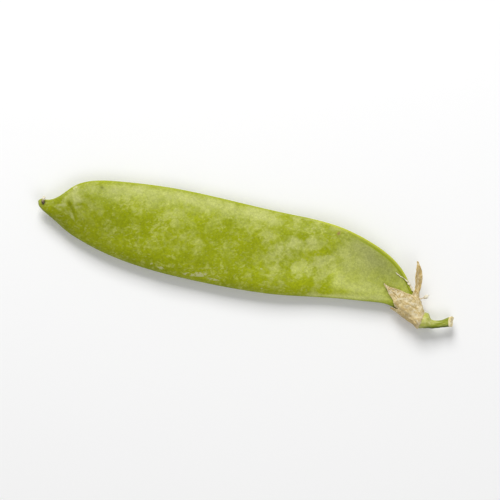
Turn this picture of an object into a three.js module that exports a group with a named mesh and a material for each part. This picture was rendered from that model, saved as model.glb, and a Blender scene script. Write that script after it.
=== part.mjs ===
// One picked sugar snap pea, lying on its side: a flat pod with a beak at one end,
// and at the other a dry calyx with five sepals on a short green stalk.
// Units are millimetres, +Z is up, and +X runs from the beak to the stalk.
// The two seams lie level, the seeded seam on the +Y side.
// Places are laid out from the beak (x = 0, y = 0), and at the end the group is
// moved so that the origin is the middle of its footprint.

import * as THREE from "three";

// ---- Driving dimensions ------------------------------------------------------

const POD_THICKNESS = 6.6; // the thickest place, from valve to valve
const SEAM_HALF = 0.6; // half the thickness of the blunt seams
const SEAM_BLUNTNESS = 0.3; // a power: the lower it is, the squarer the seams
const VALVE_FULLNESS = [2.6, 0.8]; // powers of the lens that a section of the pod is
const BELLY_FLAT = 0.15; // how far the belly is flattened where it rests
const BELLY_PRESS = 0.15; // skin that would hang lower than this is pressed to the floor
const ROLL = 0.14; // slope across the pod where it is rolled, near the calyx
const ROLL_AXIS_Y = 6; // the roll lifts what lies above this line
const ROLL_START = [56, 78]; // the roll grows between these distances from the beak
const ROLL_END = [86, 94]; // and fades again between these
const CLEARANCE = 0.3; // gap left between neighbouring pieces
const PAPER = 0.4; // thickness of the dry calyx
const CUP_INSIDE = [0.07, 0.25, 0.5, 0.75, 1]; // rings up the inside, as shares of its length
const CUP_OUTSIDE = [1, 0.75, 0.5, 0.25, 0]; // and down the outside
const POD_STATIONS = 48;
const POD_SEGMENTS = 28;
const CUP_SEGMENTS = 24;
const STALK_STATIONS = 24;
const STALK_SEGMENTS = 18;
const CUT_SLOPE = 0.35; // the stalk is cut aslant, and the cut leans upwards
const BLADE_STATIONS = 12;
const BLADE_COLUMNS = 6;
const HALVINGS = 24; // steps of the search for a rung

// Rungs across the pod, from the beak to where it enters the calyx: the point on
// the lower seam, the point on the seeded seam and half the thickness there, as a
// share of half of POD_THICKNESS.
const POD_RUNGS = [
  [-0.3, 0.25, -0.25, 0.8, 0.1],
  [0.05, -0.4, 0.25, 1.25, 0.2],
  [1.2, -1.2, 1.4, 1.4, 0.3],
  [3.4, -2.1, 3.1, 2.2, 0.4],
  [5.7, -3.05, 4.9, 4.1, 0.52],
  [8.1, -4.1, 7.0, 6.7, 0.64],
  [12.5, -5.3, 11.2, 9.2, 0.8],
  [19.5, -6.4, 18, 11.1, 0.93],
  [29, -6.7, 27.5, 13.0, 1],
  [39.5, -6.0, 38, 14.3, 1],
  [50, -4.75, 48.5, 15.2, 1],
  [60, -3.0, 58.5, 16.2, 0.97],
  [69, -0.7, 68.5, 17.15, 0.92],
  [76.3, 1.15, 77, 16.2, 0.83],
  [82, 2.4, 83.8, 14.0, 0.73],
  [86, 3.1, 88.4, 10.75, 0.64],
];

// Rungs across the calyx cup, from its foot to its rim: the point on its lower
// edge, the point on its upper edge and half its height.
const CUP_RUNGS = [
  [94.85, -0.15, 95.15, 3.95, 1.8],
  [93.4, 0.6, 94.4, 5.0, 2.15],
  [91.9, 1.1, 93.5, 6.2, 2.4],
  [90.3, 1.6, 92.5, 7.2, 2.55],
  [88.8, 2.2, 91.4, 8.0, 2.65],
];

// The neck of the pod inside the cup: how far up the cup, as a share of its
// length, and how much of the room in the cup it fills.
const NECK_RUNGS = [
  [0.97, 1],
  [0.7, 1],
  [0.45, 0.9],
  [0.27, 0.65],
  [0.18, 0.4],
  [0.15, 0.12],
];

// Sepals that lie on a valve: places along the midline with half the width there.
const SEPAL_FACE = [
  [89.6, 5.05, 2.35],
  [88.2, 5.6, 1.8],
  [86.6, 6.3, 1.15],
  [85.1, 7.05, 0.5],
  [83.8, 7.7, 0.12],
];
const SEPAL_UNDER_LOW = [
  [88.9, 3.75, 1.35],
  [87.4, 4.35, 1.3],
  [86.0, 5.0, 0.7],
  [84.7, 5.6, 0.12],
];
const SEPAL_UNDER_HIGH = [
  [90.3, 6.75, 1.2],
  [89.2, 7.6, 1.15],
  [88.0, 8.5, 0.7],
  [86.8, 9.4, 0.12],
];

// Sepals that stand free of the pod: places along the midline, the last two
// numbers being the height over the seams and half the width.
const SEPAL_UPRIGHT = [
  [92.16, 8.18, 0.75, 0.9],
  [91.8, 9.3, 1.1, 1.3],
  [91.42, 11.05, 1.5, 1.3],
  [90.9, 12.7, 1.75, 0.95],
  [90.3, 14.2, 1.8, 0.55],
  [89.65, 15.2, 1.8, 0.12],
];
const SEPAL_LOW_EDGE = [
  [88.5, 2.15, 0.3, 0.95],
  [88.0, 2.3, 0.3, 0.7],
  [87.3, 2.45, 0.3, 0.12],
];

// Rungs across the stalk: the point on its lower edge, the point on its upper
// edge, half its height and the height of its middle over the seams. The swollen
// foot carries the calyx, and the far end flares where it was cut.
const STALK_RUNGS = [
  [95.2, 0.05, 95.47, 3.88, 1.78, 0],
  [95.75, 0.2, 95.95, 4.12, 1.85, 0],
  [96.5, 0.48, 96.55, 3.85, 1.65, 0],
  [97.3, 0.78, 97.15, 3.15, 1.25, 0],
  [98.1, 1.06, 97.7, 2.76, 0.95, 0],
  [99.0, 1.38, 98.35, 2.84, 0.85, -0.05],
  [100.0, 1.76, 99.2, 3.2, 0.83, -0.15],
  [100.9, 2.12, 100.05, 3.78, 0.9, -0.25],
  [101.6, 2.42, 100.85, 4.4, 1.03, -0.3],
  [102.5, 2.8, 101.8, 5.06, 1.13, -0.3],
];

// Seeds that swell the upper valve: where the first one lies, the step between
// them, how many there are, how far up the pod they lie, from the lower seam to
// the seeded one, the size of a swelling and its height.
const SEED_FIRST = 15.5;
const SEED_STEP = 8.6;
const SEED_COUNT = 8;
const SEED_SHARE = 0.56;
const SEED_RADIUS = 3.2;
const SEED_SPREAD = 0.18; // its radius across the pod, as a share of the width
const SEED_RISE = 0.22;

// Dried remains of the flower: places along the midline with the height over the
// seams and the radius. They are the horn left of the style on the beak, and one
// stamen standing out beside the calyx.
const STYLE = [
  [0.9, 0.85, 1.35, 0.3],
  [0.78, 1.45, 1.45, 0.3],
  [0.7, 2.15, 1.5, 0.14],
];
const STAMEN = [
  [93.07, 6.7, 1.17, 0.13],
  [93.8, 7.3, 1.5, 0.13],
  [94.15, 7.6, 1.6, 0.34],
  [94.45, 7.9, 1.7, 0.38],
  [94.95, 8.45, 1.9, 0.1],
];
// A shred of the dried stamen tube over the seeded seam, laid out like a sepal
// that stands free.
const SHEATH = [
  [91.0, 8.1, 1.2, 0.14],
  [89.6, 9.35, 1.55, 0.26],
  [88.0, 10.1, 1.85, 0.25],
  [86.3, 10.8, 2.1, 0.12],
];

// ---- Levels and shared helpers -----------------------------------------------

const SEAM_LEVEL = POD_THICKNESS / 2 - BELLY_FLAT;
const UP = new THREE.Vector3(0, 0, 1);

const vector = (x, y, z) => new THREE.Vector3(x, y, z);
const smooth = (points) => new THREE.CatmullRomCurve3(points, false, "centripetal");

// The two sides of a ladder of rungs, as curves that share one parameter. Their z
// holds the fifth number of each rung.
const ladder = (rungs) => [
  smooth(rungs.map(([x, y, , , half]) => vector(x, y, half))),
  smooth(rungs.map(([, , x, y, half]) => vector(x, y, half))),
];

// The triangles that close one end of a skin: a fan from a pole to a whole ring.
function fan(ring, pole, count) {
  const index = [];
  for (let j = 0; j < count; j++) index.push(pole, ring + ((j + 1) % count), ring + j);
  return index;
}

// The same for a flat ring whose two halves face each other: a strip between them.
function strip(ring, count) {
  const index = [];
  for (let j = 0; j < count / 2 - 1; j++) {
    const across = count - 1 - j;
    index.push(ring + j, ring + across, ring + across - 1);
    index.push(ring + j, ring + across - 1, ring + j + 1);
  }
  return index;
}

// A closed skin over a stack of rings with equal counts. Round rings are closed by
// fans to the middle of the first and of the last one, and flat ones by strips.
function skin(rings, flat = false) {
  const count = rings[0].length;
  const middle = (ring) =>
    ring.reduce((sum, p) => sum.add(p), vector(0, 0, 0)).divideScalar(count);
  const poles = flat ? [] : [middle(rings[0]), middle(rings.at(-1))];
  const lastRing = (rings.length - 1) * count;
  const firstPole = rings.length * count;
  const start = flat ? strip(0, count) : fan(0, firstPole, count);
  const end = flat ? strip(lastRing, count) : fan(lastRing, firstPole + 1, count);
  const index = [...start, ...end.reverse()];
  for (let j = 0; j < count; j++) {
    const next = (j + 1) % count;
    for (let row = 0; row < lastRing; row += count) {
      index.push(row + j, row + next, row + count + next);
      index.push(row + j, row + count + next, row + count + j);
    }
  }
  const geometry = new THREE.BufferGeometry().setFromPoints([...rings.flat(), ...poles]);
  return geometry.setIndex(index);
}

// A ring of points, one for each turn round a section.
const ringOf = (segments, pointAt) =>
  Array.from({ length: segments }, (_, j) => pointAt((2 * Math.PI * j) / segments));

// ---- Calyx cup ---------------------------------------------------------------

const [CUP_LOWER, CUP_UPPER] = ladder(CUP_RUNGS);

// A point on an oval ring of the cup, drawn in from its outside by an inset.
function cupPoint(share, inset, turn) {
  const low = CUP_LOWER.getPoint(share);
  const high = CUP_UPPER.getPoint(share);
  const across = high.clone().sub(low).setZ(0);
  const half = across.length() / 2 - inset;
  const point = low.clone().lerp(high, 0.5).setZ(SEAM_LEVEL);
  point.addScaledVector(across.normalize(), half * Math.cos(turn));
  return point.addScaledVector(UP, (low.z - inset) * Math.sin(turn));
}

// A thin cup: up the inside from its floor, over the rim and down the outside.
function cupGeometry() {
  const level = (share, inset) =>
    ringOf(CUP_SEGMENTS, (turn) => cupPoint(share, inset, turn));
  const inside = CUP_INSIDE.map((share) => level(share, PAPER));
  const outside = CUP_OUTSIDE.map((share) => level(share, 0));
  return skin([...inside, ...outside]);
}

// ---- Pod ---------------------------------------------------------------------

// The rung that fills part of the room inside the cup.
function neckRung([share, filled]) {
  const high = cupPoint(share, PAPER + CLEARANCE, 0);
  const low = cupPoint(share, PAPER + CLEARANCE, Math.PI);
  const top = cupPoint(share, PAPER + CLEARANCE, Math.PI / 2);
  const halfHeight = (top.z - SEAM_LEVEL) * filled;
  const middle = low.clone().lerp(high, 0.5);
  low.lerp(middle, 1 - filled);
  high.lerp(middle, 1 - filled);
  return [low.x, low.y, high.x, high.y, halfHeight];
}

const [LOWER_SEAM, UPPER_SEAM] = ladder([
  ...POD_RUNGS.map(([lowX, lowY, highX, highY, share]) => [
    lowX,
    lowY,
    highX,
    highY,
    (share * POD_THICKNESS) / 2,
  ]),
  ...NECK_RUNGS.map(neckRung),
]);

// Height of a valve over the seams, where half is half the thickness of the pod
// there and side runs from -1 on the lower seam to 1 on the seeded one: a lens
// that is fullest in the middle and ends in blunt seams.
function valveHeight(half, side) {
  const seam = Math.min(SEAM_HALF, half);
  const [inner, outer] = VALVE_FULLNESS;
  const lens = Math.pow(1 - Math.pow(Math.abs(side), inner), outer);
  const blunt = Math.pow(Math.max(0, 1 - side * side), SEAM_BLUNTNESS);
  return (half - seam) * lens + seam * blunt;
}

// How much the seeds swell the upper valve, at a place between the seams.
function seedSwelling(x, share) {
  let rise = 0;
  for (let seed = 0; seed < SEED_COUNT; seed++) {
    const along = (x - SEED_FIRST - seed * SEED_STEP) / SEED_RADIUS;
    const across = (share - SEED_SHARE) / SEED_SPREAD;
    rise += SEED_RISE * Math.exp(-along * along - across * across);
  }
  return rise;
}

// A point on the pod: along runs from the beak to the neck, and turn goes round
// from the seeded seam over the upper valve.
function podPoint(along, turn) {
  const low = LOWER_SEAM.getPoint(along);
  const high = UPPER_SEAM.getPoint(along);
  const side = Math.cos(turn);
  const share = (1 + side) / 2;
  const point = low.clone().lerp(high, share);
  const upper = Math.max(0, Math.sin(turn));
  const height = valveHeight(low.z, side) * Math.sign(Math.sin(turn));
  const swelling = seedSwelling(point.x, share) * Math.sqrt(upper);
  return point.setZ(SEAM_LEVEL + height + swelling);
}

function podGeometry() {
  const rings = [];
  for (let i = 0; i <= POD_STATIONS; i++) {
    rings.push(ringOf(POD_SEGMENTS, (turn) => podPoint(i / POD_STATIONS, turn)));
  }
  return skin(rings);
}

// Height over the seams of an arch that clears the valve, at a place in the seam
// plane. The rung that runs through the place is found by halving.
function archHeightAt(x, y) {
  let before = 0;
  let after = 1;
  for (let step = 0; step < HALVINGS; step++) {
    const along = (before + after) / 2;
    const low = LOWER_SEAM.getPoint(along);
    const rung = UPPER_SEAM.getPoint(along).sub(low);
    if (rung.x * (y - low.y) < rung.y * (x - low.x)) before = along;
    else after = along;
  }
  const low = LOWER_SEAM.getPoint(before);
  const rung = UPPER_SEAM.getPoint(before).sub(low);
  rung.setZ(0);
  const share = (rung.x * (x - low.x) + rung.y * (y - low.y)) / rung.lengthSq();
  const side = 2 * share - 1;
  return low.z * (1 - (side * side) / 2);
}

// ---- Sepals ------------------------------------------------------------------

// A thin blade: its outer face, then its inner face, row by row along it.
// pointAt takes a share of its length, a place across it from -1 to 1, and lift.
function blade(pointAt) {
  const rings = [];
  for (let i = 0; i <= BLADE_STATIONS; i++) {
    const row = (lift) =>
      Array.from({ length: BLADE_COLUMNS + 1 }, (_, k) =>
        pointAt(i / BLADE_STATIONS, (2 * k) / BLADE_COLUMNS - 1, lift),
      );
    rings.push([...row(PAPER), ...row(0).reverse()]);
  }
  return skin(rings, true);
}

// A sepal that lies on the upper valve (valve = 1) or the lower one (valve = -1).
function lyingSepal(places, valve) {
  const midline = smooth(places.map(([x, y, half]) => vector(x, y, half)));
  return blade((along, across, lift) => {
    const centre = midline.getPoint(along);
    const ahead = midline.getTangent(along).setZ(0).normalize();
    const side = new THREE.Vector3().crossVectors(ahead, UP);
    const place = centre.clone().addScaledVector(side, valve * centre.z * across);
    const height = archHeightAt(place.x, place.y) + CLEARANCE + lift;
    return place.setZ(SEAM_LEVEL + valve * height);
  });
}

// A blade that stands free: side says which way it is wide.
function freeBlade(places, side) {
  const midline = smooth(places.map(([x, y, z]) => vector(x, y, SEAM_LEVEL + z)));
  const halves = smooth(places.map(([, , , half], k) => vector(k, half, 0)));
  return blade((along, across, lift) => {
    const ahead = midline.getTangent(along);
    const wide = side.clone().addScaledVector(ahead, -side.dot(ahead)).normalize();
    const outward = new THREE.Vector3().crossVectors(wide, ahead);
    return midline
      .getPoint(along)
      .addScaledVector(wide, halves.getPoint(along).y * across)
      .addScaledVector(outward, lift - PAPER / 2);
  });
}

// ---- Stalk and threads -------------------------------------------------------

// The stalk: ovals across its rungs, and a flat end cut aslant.
function stalkGeometry() {
  const [lower, upper] = ladder(STALK_RUNGS);
  const levels = smooth(STALK_RUNGS.map(([, , , , , level], k) => vector(k, level, 0)));
  const rings = [];
  for (let i = 0; i <= STALK_STATIONS; i++) {
    const along = i / STALK_STATIONS;
    const low = lower.getPoint(along);
    const high = upper.getPoint(along);
    const level = levels.getPoint(along).y;
    const ahead = lower.getTangent(along).setZ(0).normalize();
    const slope = i === STALK_STATIONS ? CUT_SLOPE : 0;
    rings.push(
      ringOf(STALK_SEGMENTS, (turn) => {
        const rise = low.z * Math.sin(turn);
        const point = low.clone().lerp(high, (1 + Math.cos(turn)) / 2);
        return point.addScaledVector(ahead, -slope * rise).setZ(SEAM_LEVEL + level + rise);
      }),
    );
  }
  return skin(rings);
}

// A round stem along its midline, with its radius at each place.
function stem(places, stations, segments) {
  const midline = smooth(places.map(([x, y, z]) => vector(x, y, SEAM_LEVEL + z)));
  const radii = smooth(places.map(([, , , radius], k) => vector(k, radius, 0)));
  const rings = [];
  for (let i = 0; i <= stations; i++) {
    const along = i / stations;
    const radius = radii.getPoint(along).y;
    const ahead = midline.getTangent(along);
    const side = new THREE.Vector3().crossVectors(UP, ahead).normalize();
    const over = new THREE.Vector3().crossVectors(ahead, side);
    const centre = midline.getPoint(along);
    rings.push(
      ringOf(segments, (turn) =>
        centre
          .clone()
          .addScaledVector(side, radius * Math.cos(turn))
          .addScaledVector(over, radius * Math.sin(turn)),
      ),
    );
  }
  return skin(rings);
}

// ---- Materials and assembly --------------------------------------------------

const matte = (color, roughness) =>
  new THREE.MeshStandardMaterial({ color, roughness, metalness: 0 });

// Near the calyx the pod is rolled a little, which lifts its seeded seam, and the
// belly is pressed flat at the floor.
function settle(geometry) {
  const { smoothstep } = THREE.MathUtils;
  const position = geometry.getAttribute("position");
  for (let i = 0; i < position.count; i++) {
    const x = position.getX(i);
    const rolled = smoothstep(x, ...ROLL_START) - smoothstep(x, ...ROLL_END);
    const lift = ROLL * rolled * (position.getY(i) - ROLL_AXIS_Y);
    const height = position.getZ(i) + lift;
    position.setZ(i, height < BELLY_PRESS ? 0 : height);
  }
  geometry.computeVertexNormals();
}

const pea = new THREE.Group();

function add(name, geometry, material) {
  settle(geometry);
  const mesh = new THREE.Mesh(geometry, material);
  mesh.name = name;
  pea.add(mesh);
}

add("pod", podGeometry(), matte(0xa3ac45, 0.5));
add("calyx_cup", cupGeometry(), matte(0xd0bf8f, 0.9));
add("sepal_face", lyingSepal(SEPAL_FACE, 1), matte(0xc6b37f, 0.9));
add("sepal_upright", freeBlade(SEPAL_UPRIGHT, vector(-1.6, 0.2, 2)), matte(0xc9b785, 0.9));
add("sepal_low_edge", freeBlade(SEPAL_LOW_EDGE, vector(0, 0.3, -1)), matte(0xc6b37f, 0.9));
add("sepal_under_low", lyingSepal(SEPAL_UNDER_LOW, -1), matte(0xc6b37f, 0.9));
add("sepal_under_high", lyingSepal(SEPAL_UNDER_HIGH, -1), matte(0xc6b37f, 0.9));
add("pedicel", stalkGeometry(), matte(0x9ba147, 0.5));
add("style_remnant", stem(STYLE, 6, 8), matte(0xb79f77, 0.85));
add("stamen_thread", stem(STAMEN, 9, 8), matte(0xd8cba4, 0.85));
add("stamen_sheath", freeBlade(SHEATH, vector(0.5, 0.8, -0.5)), matte(0xdcd7bb, 0.85));

const middle = new THREE.Box3().setFromObject(pea).getCenter(vector(0, 0, 0));
pea.position.set(-middle.x, -middle.y, 0);

export default pea;
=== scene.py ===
# One picked sugar snap pea lying on its side: the finished pod skin, the papery calyx,
# the green stalk and the dried remains of the flower.
# The tables are in millimetres on a chart of the pod: x runs from the beak (0, 0) to the
# stalk, y runs towards the seeded seam, and heights count from the level of the seams.
# Each surface is worked out on the chart, and lay_down moves it into the frame, in metres.
import math

import bpy
import numpy as np
from mathutils import Matrix, Vector


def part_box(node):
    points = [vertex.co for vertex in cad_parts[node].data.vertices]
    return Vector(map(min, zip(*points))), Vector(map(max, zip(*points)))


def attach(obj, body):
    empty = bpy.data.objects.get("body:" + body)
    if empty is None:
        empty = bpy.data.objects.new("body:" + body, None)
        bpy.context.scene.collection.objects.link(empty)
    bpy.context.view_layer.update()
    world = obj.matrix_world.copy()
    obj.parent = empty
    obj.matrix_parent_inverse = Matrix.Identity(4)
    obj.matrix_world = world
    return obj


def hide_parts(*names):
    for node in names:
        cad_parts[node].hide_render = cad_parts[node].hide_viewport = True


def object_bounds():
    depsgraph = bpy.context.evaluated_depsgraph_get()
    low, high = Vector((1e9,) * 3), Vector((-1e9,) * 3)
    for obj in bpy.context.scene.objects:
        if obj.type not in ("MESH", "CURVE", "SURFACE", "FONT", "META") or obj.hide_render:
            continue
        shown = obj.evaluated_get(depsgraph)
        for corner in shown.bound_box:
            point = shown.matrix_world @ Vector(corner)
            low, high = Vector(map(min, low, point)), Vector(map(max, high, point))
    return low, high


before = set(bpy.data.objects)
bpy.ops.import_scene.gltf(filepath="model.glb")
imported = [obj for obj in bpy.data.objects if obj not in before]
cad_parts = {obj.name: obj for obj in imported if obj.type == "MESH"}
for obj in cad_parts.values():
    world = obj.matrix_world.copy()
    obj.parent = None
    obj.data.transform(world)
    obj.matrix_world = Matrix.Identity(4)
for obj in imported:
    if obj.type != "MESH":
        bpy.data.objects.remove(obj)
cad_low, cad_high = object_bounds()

# ---- Driving dimensions ----

MM = 0.001
SHORTEST = 1e-9  # no normal is divided by less
POD_THICKNESS = 6.6
SEAM_HALF = 0.6  # half the thickness of a seam
SEAM_BLUNTNESS = 0.3  # powers in the outline of a section
VALVE_FULLNESS = (2.6, 0.8)
BELLY_FLAT = 0.15  # how much of the belly is pressed flat
BELLY_PRESS = 0.15  # how far its lowest skin sinks
BELLY_SOFT = 1  # the height over the floor above which none of it sinks
SEAM_LEVEL = POD_THICKNESS / 2 - BELLY_FLAT
ROLL = 0.14  # slope across the pod where it is rolled, near the calyx
ROLL_AXIS_Y = 6
ROLL_START = (56, 78)
ROLL_END = (86, 94)
HALVINGS = 24  # in looking for the rung through a place
VALVE_EDGE = 0.93  # how far across the pod the height of a valve is read off
NECK_INSET = 0.45  # how far the neck of the pod stays inside the calyx
PAPER = 0.14  # thickness of the dry calyx
SHRED = 0.05  # thickness of the shred of stamen tube
CHART_UNIT, POD_CHART_UNIT = 10, 100  # millimetres of a chart to each 1 of the UV map
# How many rows and columns of points each surface has.
POD_STATIONS, POD_COLUMNS = 440, 196
BARE_STATIONS, BARE_COLUMNS = 300, 60
CUP_STATIONS, SEPAL_STATIONS, CALYX_COLUMNS = 54, 52, 240
STALK_STATIONS, STALK_COLUMNS = 150, 112
THREAD_STATIONS, THREAD_COLUMNS = 72, 28
SHEATH_STATIONS, SHEATH_COLUMNS = 140, 13

# Rungs across the pod: the point on the lower seam, the point on the seeded seam, and half
# the thickness there as a share of half of POD_THICKNESS.
POD_RUNGS = [
    (-0.36, 0.45, -0.36, 0.6, 0.03),
    (-0.27, 0.22, -0.22, 0.84, 0.1),
    (0.05, -0.4, 0.25, 1.25, 0.2),
    (1.2, -1.2, 1.4, 1.4, 0.3),
    (3.4, -2.1, 3.1, 2.2, 0.4),
    (5.7, -3.05, 4.9, 4.1, 0.52),
    (8.1, -4.1, 7, 6.7, 0.64),
    (12.5, -5.3, 11.2, 9.2, 0.8),
    (19.5, -6.4, 18, 11.1, 0.93),
    (29, -6.7, 27.5, 13, 1),
    (39.5, -6, 38, 14.3, 1),
    (50, -4.75, 48.5, 15.2, 1),
    (60, -3, 58.5, 16.2, 0.97),
    (69, -0.7, 68.5, 17.15, 0.92),
    (76.3, 1.15, 77, 16.2, 0.83),
    (82, 2.4, 83.8, 14, 0.73),
    (86, 3.1, 88.4, 10.75, 0.64),
]

# Rungs across the calyx cup, from its foot to its rim: the point on its lower edge, the
# point on its upper edge, half its height and the height of its middle over the seams.
CUP_RUNGS = [
    (94.85, -0.15, 95.15, 3.95, 1.8, 0),
    (93.4, 0.6, 94.4, 5, 2.15, 0),
    (91.9, 1.1, 93.5, 6.2, 2.4, 0),
    (90.3, 1.6, 92.5, 7.2, 2.55, 0),
    (88.8, 2.2, 91.4, 8, 2.65, 0),
]
FOOT_DRAWN_IN = (0.62, 0.4, 0.22, 0.1, 0.03)  # how far the rows under the foot are turned in
CALYX_RADIUS = 3  # millimetres of the paper's chart for each radian round the cup
# How far up the cup its rim is, at turns in degrees: the cleft is deepest beside the
# upright sepal.
RIM_TURNS = (-27, 45, 90, 135, 201, 267, 333)
RIM_SHARES = (0.52, 0.98, 1, 0.97, 1, 0.95, 0.52)
# The neck inside the cup: how far up the cup, and how much of the room there it fills.
NECK_RUNGS = [(0.97, 1), (0.7, 1), (0.45, 0.9), (0.27, 0.65), (0.18, 0.4), (0.15, 0.12), (0.14, 0.03)]

CALYX_NODES = [
    "calyx_cup",
    "sepal_face",
    "sepal_upright",
    "sepal_low_edge",
    "sepal_under_low",
    "sepal_under_high",
]
# Sepals, as ladders from the rim of the cup to the tip. Each starts on the rim between two
# turns, in degrees from the seeded seam over the upper valve. A rung holds the edge at the
# first turn, the edge at the last turn and the crown between them. The heights count from
# the valve that the sepal lies on (1 upper, -1 lower) or, where it stands free (0), from
# the seams.
SEPALS = [
    # standing out from the seeded seam
    (-27, 45, 0, [
        (92.75, 8, -0.6, 91.2, 8.5, 2.1, 0.2),
        (92.55, 9.5, 0, 90.95, 9.7, 2.3, 0.35),
        (92.35, 11, 0.6, 90.5, 11.1, 2.4, 0.45),
        (91.7, 12.8, 1.2, 90.1, 12.6, 2.3, 0.35),
        (90.8, 14.2, 1.5, 89.8, 14.2, 2, 0.15),
        (89.75, 15.2, 1.75, 89.55, 15.25, 1.8, 0),
    ]),
    # the broad one on the upper valve
    (45, 135, 1, [
        (89.4, 7.2, 0.3, 88.2, 3.2, 0.3, 0.2),
        (88.2, 7.4, 0.25, 87.2, 4.4, 0.35, 0.15),
        (86.9, 7.5, 0.2, 86.2, 5.3, 0.4, 0.1),
        (85.7, 7.45, 0.25, 85.2, 6.1, 0.35, 0.1),
        (84.8, 7.5, 0.3, 84.5, 6.95, 0.35, 0.05),
        (83.8, 7.75, 0.4, 83.75, 7.6, 0.4, 0),
    ]),
    # the small one under the lower seam
    (135, 201, 0, [
        (88.35, 2.7, 1.25, 88.35, 2.1, -0.5, 0.15),
        (87.85, 2.65, 0.9, 87.9, 2.2, -0.1, 0.1),
        (87.3, 2.5, 0.55, 87.25, 2.45, 0.35, 0),
    ]),
    # the two on the lower valve
    (201, 267, -1, [
        (88.2, 2.9, 0.25, 89.2, 5.3, 0.25, 0.15),
        (86.8, 3.5, 0.25, 87.8, 5.5, 0.25, 0.15),
        (85.7, 4.5, 0.25, 86.3, 5.7, 0.25, 0.05),
        (84.55, 5.65, 0.3, 84.6, 5.8, 0.3, 0),
    ]),
    (267, 333, -1, [
        (89.2, 5.9, 0.25, 90.7, 7.9, 0.25, 0.15),
        (88.3, 6.9, 0.25, 89.6, 8.7, 0.25, 0.15),
        (87.3, 8.2, 0.25, 88.2, 9.3, 0.25, 0.05),
        (86.65, 9.55, 0.3, 86.8, 9.6, 0.3, 0),
    ]),
]
CARRIED_ON = (0.6, 0.8, 1)  # shares of the cup from which the edges of a sepal carry on
SEPAL_GAP, SEPAL_CURL = 0.16, 0.16  # how far a lying sepal is off the valve, and its edges more
SEPAL_ROWS = 1.15  # a power that brings the rows closer together near the rim
# Shares of a sepal over which the arch of the rim fades, it comes to lie and its edges curl.
RIM_FADES, LAID_DOWN, CURL_GROWS = (0, 0.45), (0, 0.4), (0.1, 0.5)

# Rungs across the stalk: the point on its lower edge, the point on its upper edge, half
# its height and the height of its middle over the seams.
STALK_RUNGS = [
    (94.75, 0.9, 94.9, 3, 1, 0),
    (94.95, 0, 95.15, 3.85, 1.75, 0),
    (95.75, 0.2, 95.95, 4.12, 1.85, 0),
    (96.5, 0.48, 96.55, 3.85, 1.65, 0),
    (97.3, 0.78, 97.15, 3.15, 1.25, 0),
    (98.15, 0.92, 97.65, 2.95, 1.02, 0),
    (99.05, 1.28, 98.3, 3.02, 0.95, -0.05),
    (100, 1.72, 99.2, 3.3, 0.86, -0.15),
    (100.9, 2.12, 100.05, 3.78, 0.9, -0.25),
    (101.6, 2.42, 100.85, 4.4, 1.03, -0.3),
    (102.3, 2.72, 101.6, 5, 1.13, -0.3),
]
STALK_RIDGES = [(0.03, 5, 2.2), (0.02, 11, 0.7)]  # height as a share, how many, where they start
RIDGES_FROM = (0.12, 0.3)  # shares of the stalk over which the ridges rise
SLOPE_FROM = (0.88, 1)  # and over which it slopes towards the cut
CUT_FROM = (0.93, 0.98)  # and over which the green skin gives way to the cut
FOOT_EDGE = (95.4, -0.1, 0.95)  # the line under the pale foot: a point and the slope
FOOT_SOFT = (-0.9, 0.8)  # distances from that line over which it sets in
# Shares of the way down from the middle where the shade starts and where it is full, each
# with how much more it is on the foot, and shares of the way up for the upper edge.
SHADE_BELOW, SHADE_ABOVE = ((0.1, 0.4), (0.85, 0.15)), (0.45, 1)
FOOT_END = (96, 98.8)  # where the shade of the foot gives way to that of the stalk
CUT_ROWS = 8  # the last rows, which say which way the stalk is heading
CUT_SLOPE = 0.35  # the end is cut aslant, and its face leans upwards
TORN_LEVEL, TORN_LIMITS = 0.5, (-0.3, 1.6)  # how much is torn on the whole, at least and at most
CAP_CHART = 0.05  # how far beyond the stalk its torn face is on the chart
# The torn face of the end, ring by ring: its share of the radius, how far it stands out
# and how much of that is torn.
CUT_FACE = [
    (1.05, 0.1, 0.02),
    (1.08, 0.2, 0.08),
    (1.03, 0.28, 0.16),
    (0.95, 0.24, 0.18),
    (0.86, 0.12, 0.08),
    (0.72, 0.1, 0.03),
    (0.5, 0.12, 0.02),
    (0.25, 0.2, 0),
    (0.1, 0.22, 0),
]
STYLE = [
    (1, 0.45, 0.95, 0.32),
    (0.82, 0.8, 1.25, 0.36),
    (0.74, 1.2, 1.45, 0.27),
    (0.75, 1.65, 1.55, 0.36),
    (0.7, 2.2, 1.5, 0.1),
]
STAMEN = [
    (92.9, 6.5, 1.1, 0.12),
    (93.35, 6.95, 1.3, 0.12),
    (93.8, 7.3, 1.5, 0.12),
    (94.15, 7.6, 1.6, 0.4),
    (94.45, 7.9, 1.7, 0.42),
    (94.75, 8.25, 1.8, 0.12),
    (94.95, 8.45, 1.9, 0.05),
]
# The shred of the stamen tube: its two edges on the upper valve, their height over it and
# the crown between them.
SHEATH = [
    (91, 8.3, 0.2, 90.8, 8, 0.3, 0.05),
    (90.15, 9.25, 0.12, 89.88, 8.9, 0.2, 0.05),
    (89.1, 9.95, 0.1, 88.92, 9.62, 0.16, 0.04),
    (88.2, 10.3, 0.1, 88.12, 10.16, 0.12, 0.02),
    (87.1, 10.62, 0.1, 87.03, 10.48, 0.12, 0.02),
    (86.1, 11, 0.1, 86.02, 10.86, 0.12, 0.02),
    (85.6, 11.2, 0.1, 85.57, 11.14, 0.1, 0),
]

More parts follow.
